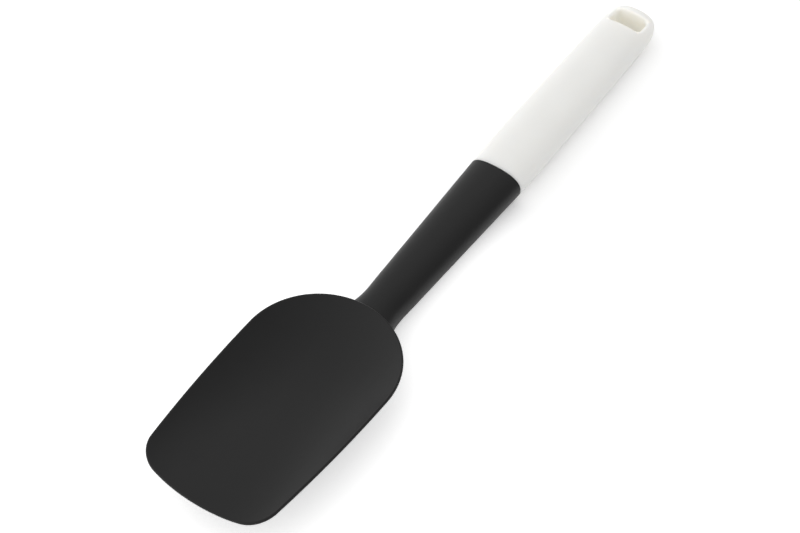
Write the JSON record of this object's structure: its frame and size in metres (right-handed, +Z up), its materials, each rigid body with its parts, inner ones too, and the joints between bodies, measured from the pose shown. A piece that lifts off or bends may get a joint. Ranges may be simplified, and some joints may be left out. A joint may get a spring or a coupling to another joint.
{
  "type": "silicone scoop spatula",
  "caption": "Scoop-shaped silicone spatula: black silicone blade and neck sleeve moulded over a stiff core, with an oval white plastic handle that ends in a hanging hole.",
  "frame": {"origin": "on the resting surface, under the middle of the tool's length and width", "axes": "+X from the blade's tip to the end of the handle, +Y to the left, +Z up, out of the open scoop"},
  "size_m": [0.3152, 0.0654, 0.0224],
  "materials": {
    "black_silicone": "matte",
    "white_plastic": "satin",
    "core_nylon": "matte"
  },
  "bodies": {
    "root": {"silicone_head": "black_silicone", "handle": "white_plastic", "core": "core_nylon"}
  },
  "joints": []
}
